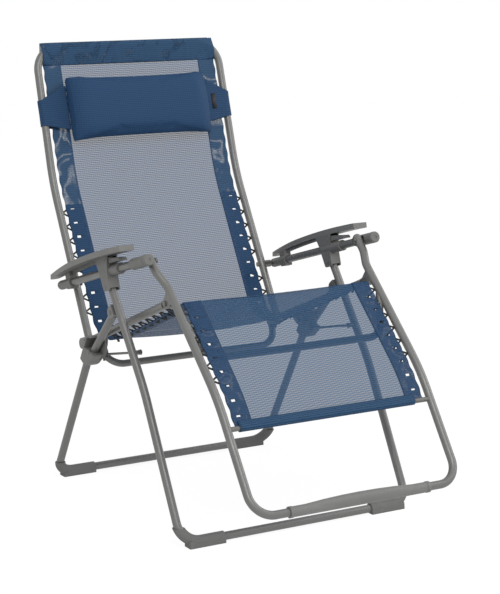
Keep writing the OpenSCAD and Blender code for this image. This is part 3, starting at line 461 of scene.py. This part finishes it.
def sew(name, rows, body):
    """Stitches along each row of points, made by the stitch tree and baked to one mesh."""
    seam = bpy.data.curves.new(name + "_seam", "CURVE")
    seam.dimensions = "3D"
    for row in rows:
        spline = seam.splines.new("POLY")
        spline.points.add(len(row) - 1)
        for point, place in zip(spline.points, row):
            point.co = (*place, 1.0)
    holder = bpy.data.objects.new(name + "_holder", seam)
    bpy.context.scene.collection.objects.link(holder)
    modifier = holder.modifiers.new("stitches", "NODES")
    modifier.node_group = stitch_tree
    for item in stitch_tree.interface.items_tree:
        if getattr(item, "in_out", "") == "INPUT" and item.name == "Thread":
            modifier[item.identifier] = sewing_thread
    bpy.context.view_layer.update()
    evaluated = holder.evaluated_get(bpy.context.evaluated_depsgraph_get())
    mesh = bpy.data.meshes.new_from_object(evaluated)
    bpy.data.objects.remove(holder)
    piece = bpy.data.objects.new(name, mesh)
    bpy.context.scene.collection.objects.link(piece)
    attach(piece, body)
    return piece


def seam_row(places, x, lift=0.0013):
    return [(x, at.x, at.y) for at in (place + beside(direction) * lift for place, direction,
                                       _ in walk(places, 0.006))]


for name, places, inner, body in (("back_stitches", back_line, back_inner, "back"),
                                  ("seat_stitches", seat_line, rail_inner, "seat"),
                                  ("leg_rest_stitches", shin_line, rail_inner, "leg_rest")):
    sew(name, [seam_row(places, side * (inner + inset)) for side in (-1, 1) for inset in (0.002, 0.006)],
        body)

# ---- Elastic lacing ----
# One rubber cord to each side, in a braided black sheath. It zigzags in the gap from
# each slot, behind the band, to a hook on the inner side of the tube.
lace_thick = 0.0048


def braid_finish():
    """Braided sheath: crossed diagonal plaits, 3 mm long, over a black core."""
    finish, tree = start_finish("braided_elastic_sheath")
    split = add(tree, "ShaderNodeSeparateXYZ", {0: add(tree, "ShaderNodeUVMap", uv_map="cloth").outputs[0]})
    lean = []
    for sign in (1.0, -1.0):
        skew = add(tree, "ShaderNodeMath", {0: split.outputs[0], 1: sign * 2.0, 2: split.outputs[1]},
                   operation="MULTIPLY_ADD")
        turn = add(tree, "ShaderNodeMath", {0: skew.outputs[0], 1: 2 * math.pi / 0.003},
                   operation="MULTIPLY")
        lean.append(add(tree, "ShaderNodeMath", {0: turn.outputs[0]}, operation="SINE").outputs[0])
    plait = add(tree, "ShaderNodeMath", {0: lean[0], 1: lean[1]}, operation="MAXIMUM").outputs[0]
    tone = add(tree, "ShaderNodeMix", {"Factor": plait, 6: linear("#141413"), 7: linear("#2c2c29")},
               data_type="RGBA")
    bump = add(tree, "ShaderNodeBump", {"Height": plait, "Strength": 0.5, "Distance": 0.0003})
    sheath = add(tree, "ShaderNodeBsdfPrincipled",
                 {"Base Color": tone.outputs[2], "Roughness": 0.62, "Normal": bump.outputs[0]})
    add(tree, "ShaderNodeOutputMaterial", {"Surface": sheath.outputs[0]})
    return finish


lace_sheath = braid_finish()


def rope_mesh(name, runs, radius, material, body, sides=8):
    """Round cord along each run of points, smoothed through them, closed at its ends."""
    verts, faces, uvs = [], [], []
    for run in runs:
        line = []
        for i in range(len(run) - 1):
            p0, p1, p2, p3 = (run[max(0, min(len(run) - 1, i + k))] for k in (-1, 0, 1, 2))
            for q in (0.0, 0.25, 0.5, 0.75):
                line.append(0.5 * (2 * p1 + (p2 - p0) * q + (2 * p0 - 5 * p1 + 4 * p2 - p3) * q * q
                                   + (3 * p1 - p0 - 3 * p2 + p3) * q ** 3))
        line.append(run[-1].copy())
        up, gone, first = Vector((0, 0, 1)), 0.0, len(verts)
        for i, place in enumerate(line):
            ahead = (line[min(i + 1, len(line) - 1)] - line[max(i - 1, 0)]).normalized()
            up = (up - ahead * up.dot(ahead)).normalized()
            out = ahead.cross(up)
            gone += (place - line[i - 1]).length if i else 0.0
            for k in range(sides):
                turn = 2 * math.pi * k / sides
                verts.append(place + (up * math.cos(turn) + out * math.sin(turn)) * radius)
                uvs.append((radius * turn, gone))
        for i in range(len(line) - 1):
            for k in range(sides):
                a, b = first + i * sides + k, first + i * sides + (k + 1) % sides
                faces.append((a, a + sides, b + sides, b))
        faces.append(tuple(first + k for k in range(sides)))
        faces.append(tuple(first + (len(line) - 1) * sides + k for k in reversed(range(sides))))
    return finish_piece(name, verts, faces, uvs, material, body)


def lacing_run(rail, rail_x, edge, start, count, side, behind, hook):
    """The cord's zigzag: behind the band at each slot, and at the tube's inner side halfway between.
    behind and hook are how far off the line of the rail's axis it lies there."""
    def at(s, x, lift):
        place, direction = rail(s)
        spot = place + beside(direction) * lift
        return Vector((side * x, spot.x, spot.y))

    points = []
    for i in range(count + 1):
        s = start + i * lace_pitch
        points += [at(s - 0.003, edge - slot_in + 0.003, behind),
                   at(s + 0.003, edge - slot_in + 0.003, behind)]
        if i < count:
            middle, out = s + lace_pitch / 2, rail_x(s) - 0.0102 - lace_thick / 2
            points += [at(middle - 0.002, out, hook), at(middle + 0.002, out, hook)]
    return points


def straight(start_place, direction):
    return lambda s: (start_place + direction * s, direction)


back_flare = lambda s: 0.281 - (0.281 - 0.2762) * s / 0.4365
both_sides = (-1, 1)
rope_mesh("back_lacing", [
    lacing_run(straight(hip_hinge, back_heading), back_flare, back_edge, start, count, side, -0.0048,
               -0.003)
    for side in both_sides for start, count in ((0.060, 2), (0.177, 5))], lace_thick / 2, lace_sheath,
    "back")
rope_mesh("leg_rest_lacing", [
    lacing_run(straight(shin_start, -shin_heading), lambda s: 0.281, rail_edge, 0.024, 6, side, 0.0048,
               0.003)
    for side in both_sides], lace_thick / 2, lace_sheath, "leg_rest")
rope_mesh("seat_lacing", [
    lacing_run(straight(hip_hinge, seat_heading), lambda s: 0.281, rail_edge, 0.090, 9, side, 0.0205, 0.006)
    for side in both_sides], lace_thick / 2, lace_sheath, "seat")
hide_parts("back_laces")
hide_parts("leg_laces")
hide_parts("seat_laces")


# ---- Top sleeve and foot hem ----
# The cloth is turned over the head bar, and round a thin bar at the feet, and sewn into
# a pocket. Two layers lie together below the bar, so the threads beat there as well.
def pocket_outline(parts, count):
    """The cloth's closed line round circles (place, radius), pulled tight, in even steps."""
    turn, outline = 240, []
    for i in range(turn):
        way = heading(360 * i / turn)
        best = max(parts, key=lambda part: part[0].dot(way) + part[1])
        outline.append(best[0] + way * best[1])
    outline.append(outline[0])
    return [place for place, _, _ in walk(outline, length_of(outline) / count)][:count + 1]


def pocket(name, columns, parts_at, material, body, count, sway=0.0):
    verts, uvs, faces = [], [], []
    for x in columns:
        ring, gone = pocket_outline(parts_at(x), count), 0.0
        for k, place in enumerate(ring):
            gone += (place - ring[k - 1]).length if k else 0.0
            wrinkle = sway * math.sin(140 * x + 9 * math.sin(31 * x)) * math.sin(math.pi * k / count) ** 2
            verts.append(Vector((x, place.x + wrinkle, place.y)))
            uvs.append((x, gone))
    deep = count + 1
    for i in range(len(columns) - 1):
        for k in range(count):
            a = i * deep + k
            faces.append((a, a + deep, a + deep + 1, a + 1))
    piece = finish_piece(name, verts, faces, uvs, material, body)
    wall = piece.modifiers.new("cloth_thickness", "SOLIDIFY")
    wall.thickness = 0.0008
    wall.offset = -1.0
    return piece


def head_parts(x):
    """The head bar bends down at its corners, and the pocket keeps its straight top edge."""
    past = max(0.0, abs(x) - 0.208)
    drop = 0.065 - math.sqrt(max(0.0, 0.065 ** 2 - past ** 2))
    ends = min(1.0, past / 0.03)
    return [(headrail - top_heading * drop, 0.0116), (headrail - top_heading * 0.047, 0.0016),
            (headrail + top_heading * (0.0100 * ends), 0.0018 + 0.0098 * (1 - ends))]


head_sleeve = pocket("head_sleeve", evenly(-0.258, 0.258, 86), head_parts, doubled_mesh, "back", 56,
                     sway=0.0006)
foot_bar = ankle - foot_heading * 0.074


def foot_parts(x):
    return [(foot_bar, 0.0080), (ankle - foot_heading * 0.058, 0.0013)]


foot_hem = pocket("foot_hem", evenly(-0.250, 0.232, 60), foot_parts, hem_mesh, "leg_rest", 32)
sew("sleeve_stitches",
    [[(x, *(headrail - top_heading * drop + beside(top_heading) * 0.0022)) for x in evenly(-0.255, 0.255,
            80)]
                        for drop in (0.0405, 0.0445)], "back")

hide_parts("back_sling")
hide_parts("seat_sling")
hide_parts("leg_sling")

# ---- Head pillow ----
# A slim fibre-filled bolster in plain navy mesh with a lining, closed by a seam at each
# end. Its filling crowns it, and its ends pull in to the seams.
pillow_half_x, pillow_half_s, pillow_deep = 0.214, 0.089, 0.047
pillow_at = shoulder + top_heading * 0.189
pillow_out = beside(top_heading)


def pillow_point(x, turn):
    """A place on the pillow's skin: x across, turn round its section from the back."""
    end = min(1.0, (pillow_half_x - abs(x)) / 0.055)
    full = 0.10 + 0.90 * math.sqrt(max(0.0, 1 - (1 - end) ** 2))
    waist = 1 - 0.035 * (1 - (x / pillow_half_x) ** 2) - 0.02 * (1 - full)
    c, d = math.cos(turn), math.sin(turn)
    s = pillow_half_s * waist * math.copysign(abs(c) ** 0.75, c)
    n = pillow_deep / 2 * full * math.copysign(abs(d) ** 0.8, d)
    at = pillow_at + top_heading * s + pillow_out * (0.0035 + pillow_deep / 2 * full + n)
    return Vector((x, at.x, at.y))


pillow_ring = 64
pillow_columns = sorted(set([side * (pillow_half_x - 0.055 * (1 - math.cos(math.pi * i / 20))) for i in range(11) for side in (-1, 1)]
                            + evenly(-0.155, 0.155, 30)))
verts = [pillow_point(x, 2 * math.pi * k / pillow_ring) for x in pillow_columns for k in range(pillow_ring)]
faces = [(i * pillow_ring + k, i * pillow_ring + (k + 1) % pillow_ring,
          (i + 1) * pillow_ring + (k + 1) % pillow_ring,
          (i + 1) * pillow_ring + k) for i in range(len(pillow_columns) - 1) for k in range(pillow_ring)]
faces.append(tuple(reversed(range(pillow_ring))))
faces.append(tuple((len(pillow_columns) - 1) * pillow_ring + k for k in range(pillow_ring)))


def pillow_finish():
    """Lined mesh: a tight navy weave with a faint crosswise rib and a soft sheen."""
    finish, tree = start_finish("lined_pillow_mesh")
    place = add(tree, "ShaderNodeTexCoord").outputs["Object"]
    split = add(tree, "ShaderNodeSeparateXYZ", {0: place})
    rows = add(tree, "ShaderNodeMath", {0: split.outputs[2], 1: 2 * math.pi / 0.0048},
               operation="MULTIPLY").outputs[0]
    threads = add(tree, "ShaderNodeMath", {0: split.outputs[0], 1: 2 * math.pi / 0.0056},
                  operation="MULTIPLY").outputs[0]
    rows = add(tree, "ShaderNodeMath", {0: rows}, operation="SINE").outputs[0]
    threads = add(tree, "ShaderNodeMath", {0: threads}, operation="SINE").outputs[0]
    weave = add(tree, "ShaderNodeMath", {0: threads, 1: 0.5, 2: rows}, operation="MULTIPLY_ADD").outputs[0]
    blend = add(tree, "ShaderNodeMapRange", {0: weave, 1: -1.5, 2: 1.5, 3: 0.0, 4: 1.0}).outputs[0]
    tone = add(tree, "ShaderNodeMix", {"Factor": blend, 6: linear("#1e3a5a"), 7: linear("#2a496c")},
               data_type="RGBA")
    bump = add(tree, "ShaderNodeBump", {"Height": weave, "Strength": 0.4, "Distance": 0.0003})
    cover = add(tree, "ShaderNodeBsdfPrincipled",
                {"Base Color": tone.outputs[2], "Roughness": 0.62, "Specular IOR Level": 0.16,
                                                   "Normal": bump.outputs[0]})
    add(tree, "ShaderNodeOutputMaterial", {"Surface": cover.outputs[0]})
    return finish


pillow_cloth = pillow_finish()
pillow = finish_piece("head_pillow_cushion", verts, faces, [(v.x, v.z) for v in verts], pillow_cloth,
                      "pillow")


def fill_with_fibre(piece, cap):
    """Blows the cover up a little with cloth pressure, and caps how far a point may move."""
    bpy.context.view_layer.objects.active = piece
    body = piece.parent
    piece.parent = None
    remesh = piece.modifiers.new("even_skin", "REMESH")
    remesh.mode = "VOXEL"
    remesh.voxel_size = 0.005
    bpy.ops.object.modifier_apply(modifier="even_skin")
    rest = [v.co.copy() for v in piece.data.vertices]
    cover = piece.modifiers.new("cover", "CLOTH")
    cover.settings.quality = 5
    cover.settings.mass = 0.2
    cover.settings.tension_stiffness = 20
    cover.settings.bending_stiffness = 1.5
    cover.settings.use_pressure = True
    cover.settings.uniform_pressure_force = 4
    cover.settings.effector_weights.gravity = 0
    cover.point_cache.frame_start, cover.point_cache.frame_end = 1, 20
    scene = bpy.context.scene
    for number in range(1, 21):
        scene.frame_set(number)
    evaluated = piece.evaluated_get(bpy.context.evaluated_depsgraph_get())
    filled = [v.co.copy() for v in evaluated.to_mesh().vertices]
    evaluated.to_mesh_clear()
    piece.modifiers.remove(cover)
    scene.frame_set(1)
    for vertex, start, end in zip(piece.data.vertices, rest, filled):
        move = end - start
        if move.length > cap:
            move *= cap / move.length
        spot = start + move
        lift = (Vector((spot.y, spot.z)) - pillow_at).dot(pillow_out)
        low = 0.0026
        if lift < low:
            spot += Vector((0, pillow_out.x, pillow_out.y)) * (low - lift)
        vertex.co = spot
    for face in piece.data.polygons:
        face.use_smooth = True
    fine = piece.modifiers.new("fine_skin", "SUBSURF")
    fine.levels = fine.render_levels = 1
    piece.parent = body


bpy.context.view_layer.update()
fill_with_fibre(pillow, 0.007)
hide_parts("head_pillow")

# ---- Pillow straps ----
# Two wings of doubled mesh, sewn into the pillow's ends, wrap the back tubes and close
# behind them, so the pillow slides up and down. One wing carries a plain black tab.
strap_rows = 28


def strap_line(side):
    """The wing's section: from the pillow's end, over the tube, round it, and back behind the cloth."""
    tube_x, wrap = 0.2743, 0.0119
    line = [Vector((pillow_half_x - 0.006, 0.0125)), Vector((0.235, 0.0122))]
    line += [Vector((tube_x + wrap * math.sin(t),
                     wrap * math.cos(t))) for t in (math.pi * i / 18 for i in range(19))]
    line += [Vector((0.250, -0.0119)), Vector((0.234, -0.0116))]
    return [(side * place.x, place.y, s) for place, _, s in walk(line, 0.004)]


def wing_span(x):
    """The wing is 116 mm tall at the pillow, and 70 mm at the tube."""
    q = min(1.0, max(0.0, (abs(x) - pillow_half_x) / 0.066))
    return (-0.052 + 0.014 * q, 0.064 - 0.034 * q)


for side, hand in ((1, "l"), (-1, "r")):
    line = strap_line(side)
    verts, uvs, faces = [], [], []
    for x, lift, s in line:
        low, high = wing_span(x)
        for k in range(strap_rows + 1):
            up = low + (high - low) * k / strap_rows
            at = pillow_at + top_heading * up + pillow_out * (lift + 0.0004 * math.sin(90 * up + 60 * x))
            verts.append(Vector((x, at.x, at.y)))
            uvs.append((s, up))
    for i in range(len(line) - 1):
        for k in range(strap_rows):
            a = i * (strap_rows + 1) + k
            quad = (a, a + strap_rows + 1, a + strap_rows + 2, a + 1)
            faces.append(quad if side > 0 else quad[::-1])
    strap = finish_piece("pillow_wing_" + hand, verts, faces, uvs, lined_band, "pillow")
    wall = strap.modifiers.new("doubled_cloth", "SOLIDIFY")
    wall.thickness = 0.0016
    wall.offset = 0.0
    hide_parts("pillow_strap_" + hand)

# the tab is woven black tape, doubled and sewn flat on the wing of the left side
tab_tape = rigid_finish("woven_black_tape", "#121213", "#1d1d1f", 1.0, 0.05, (0.6, 0.75))
verts, faces = [], []
for lift in (0.0136, 0.0148):
    for x, up in ((0.226, -0.018), (0.238, -0.018), (0.238, 0.024), (0.226, 0.024)):
        at = pillow_at + top_heading * up + pillow_out * lift
        verts.append(Vector((x, at.x, at.y)))
faces = [(3, 2, 1, 0), (4, 5, 6, 7), (0, 1, 5, 4), (1, 2, 6, 5), (2, 3, 7, 6), (3, 0, 4, 7)]
finish_piece("plain_black_tab", verts, faces, [(v.x, v.z) for v in verts], tab_tape, "pillow")

# ---- The scene: floor, soft lamps and camera ----
# A plain pale floor, one large soft lamp ahead and above, a weaker one on the far side,
# and a long lens at sitting height.
def white_for_camera(strength, tree, painted_crest_light):
    """White to the camera, mirrors and glass; the given shader to everything else."""
    path = add(tree, "ShaderNodeLightPath")
    seen = add(tree, "ShaderNodeMath",
               {0: path.outputs["Is Camera Ray"], 1: path.outputs["Is Glossy Ray"]}, operation="MAXIMUM")
    seen = add(tree, "ShaderNodeMath", {0: seen.outputs[0], 1: path.outputs["Is Transmission Ray"]},
               operation="MAXIMUM")
    seen = add(tree, "ShaderNodeMath", {0: seen.outputs[0], 1: strength}, operation="MULTIPLY")
    return add(tree, "ShaderNodeMixShader", {0: seen.outputs[0], 1: painted_crest_light[0], 2: painted_crest_light[1]})


floor_mesh = bpy.data.meshes.new("studio_floor")
floor_mesh.from_pydata([(-9, -9, 0), (9, -9, 0), (9, 9, 0), (-9, 9, 0)], [], [(0, 1, 2, 3)])
studio_floor = bpy.data.objects.new("studio_floor", floor_mesh)
bpy.context.scene.collection.objects.link(studio_floor)
floor_finish, tree = start_finish("pale_studio_floor")
matt = add(tree, "ShaderNodeBsdfDiffuse", {"Color": linear("#f2f2f0")})
glow = add(tree, "ShaderNodeEmission", {"Color": (1, 1, 1, 1), "Strength": 1.07})
floor_skin = white_for_camera(0.86, tree, (matt.outputs[0], glow.outputs[0]))
add(tree, "ShaderNodeOutputMaterial", {"Surface": floor_skin.outputs[0]})
floor_mesh.materials.append(floor_finish)

world = bpy.data.worlds.new("soft_studio")
bpy.context.scene.world = world
world.use_nodes = True
tree = world.node_tree
tree.nodes.clear()
dim = add(tree, "ShaderNodeBackground", {"Color": (1, 1, 1, 1), "Strength": 0.62})
bright = add(tree, "ShaderNodeBackground", {"Color": (1, 1, 1, 1), "Strength": 1.0})
room = white_for_camera(1.0, tree, (dim.outputs[0], bright.outputs[0]))
add(tree, "ShaderNodeOutputWorld", {"Surface": room.outputs[0]})

for name, place, energy, size in (("key_softbox", (-1.2, -3.4, 3.6), 92, 2.4),
                                  ("far_softbox", (3.6, -1.2, 2.6), 50, 2.2)):
    lamp = bpy.data.lights.new(name, "AREA")
    lamp.energy = energy
    lamp.size = size
    holder = bpy.data.objects.new(name, lamp)
    holder.location = place
    holder.rotation_euler = (Vector((0, 0, 0.5)) - Vector(place)).to_track_quat("-Z", "Y").to_euler()
    bpy.context.scene.collection.objects.link(holder)

turn, rise = math.radians(-30.81), math.radians(11.206)
away = Vector((math.sin(turn) * math.cos(rise), -math.cos(turn) * math.cos(rise), math.sin(rise)))
lens = bpy.data.cameras.new("long_lens")
lens.sensor_width = 36
lens.lens = 112.8
camera = bpy.data.objects.new("camera", lens)
camera.location = (-2.305, -3.939, 1.420)
camera.rotation_euler = (-away).to_track_quat("-Z", "Y").to_euler()
bpy.context.scene.collection.objects.link(camera)
bpy.context.scene.camera = camera
bpy.context.scene.view_settings.view_transform = "Standard"
